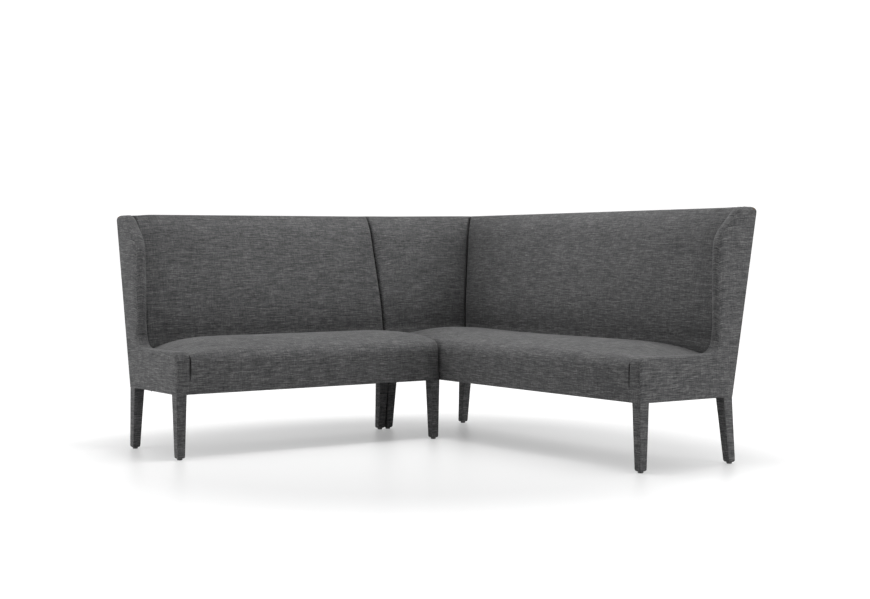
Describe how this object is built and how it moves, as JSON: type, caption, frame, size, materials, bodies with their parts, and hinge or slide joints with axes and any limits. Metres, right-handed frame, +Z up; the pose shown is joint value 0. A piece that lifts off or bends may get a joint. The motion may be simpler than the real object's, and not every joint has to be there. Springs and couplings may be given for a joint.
{
  "type": "corner banquette bench",
  "caption": "L-shaped upholstered corner banquette of linked modules with leaning backs, winged ends and tapered fabric-covered legs.",
  "frame": {"origin": "on the floor, under the middle of the whole bench's box", "axes": "+X along the left module towards the corner, +Y from the left module's front to its back, +Z up"},
  "size_m": [1.819, 1.896, 0.97],
  "materials": {
    "upholstery": "charcoal melange weave with fine horizontal slubs",
    "seat_foam": "soft polyurethane foam",
    "timber": "planed beech",
    "plywood": "birch plywood",
    "fibreboard": "thin hardboard",
    "spring_steel": "oiled spring wire and zinc plated fixings",
    "webbing": "elastic webbing",
    "base_cloth": "black non-woven cloth",
    "glide_plastic": "hard black plastic"
  },
  "bodies": {
    "root": {"glides": "glide_plastic", "left_back_board": "fibreboard", "left_back_foam": "seat_foam", "left_back_lower_rails": "timber", "left_back_posts": "timber", "left_back_top_rail": "timber", "left_back_webbing": "webbing", "left_corner_blocks": "timber", "left_cross_rails": "timber", "left_deck_cloth": "base_cloth", "left_dust_cover": "base_cloth", "left_end_cover": "upholstery", "left_end_foam": "seat_foam", "left_front_joint_leg": "timber", "left_front_outer_leg": "timber", "left_front_rail": "timber", "left_inside_back_cover": "upholstery", "left_joint_covers": "upholstery", "left_leg_covers": "upholstery", "left_outside_back_cover": "upholstery", "left_rear_joint_leg": "timber", "left_rear_outer_leg": "timber", "left_rear_rails": "timber", "left_seat_cover": "upholstery", "left_seat_foam": "seat_foam", "left_seat_springs": "spring_steel", "left_wing_board": "plywood", "leg_bolts": "spring_steel", "link_plates": "spring_steel", "link_screws": "spring_steel", "right_back_boards": "fibreboard", "right_back_foam": "seat_foam", "right_back_lower_rails": "timber", "right_back_posts": "timber", "right_back_top_rail": "timber", "right_back_webbing": "webbing", "right_corner_blocks": "timber", "right_cross_rails": "timber", "right_deck_cloth": "base_cloth", "right_dust_cover": "base_cloth", "right_end_cover": "upholstery", "right_end_foam": "seat_foam", "right_front_outer_leg": "timber", "right_front_rail": "timber", "right_inside_back_cover": "upholstery", "right_joint_cover": "upholstery", "right_leg_covers": "upholstery", "right_outside_back_covers": "upholstery", "right_rear_corner_leg": "timber", "right_rear_outer_leg": "timber", "right_rear_rails": "timber", "right_return_back_foam": "seat_foam", "right_return_inside_cover": "upholstery", "right_return_leg": "timber", "right_return_top_rail": "timber", "right_seat_cover": "upholstery", "right_seat_foam": "seat_foam", "right_seat_springs": "spring_steel", "right_wing_board": "plywood", "spring_clips": "spring_steel"}
  },
  "joints": []
}
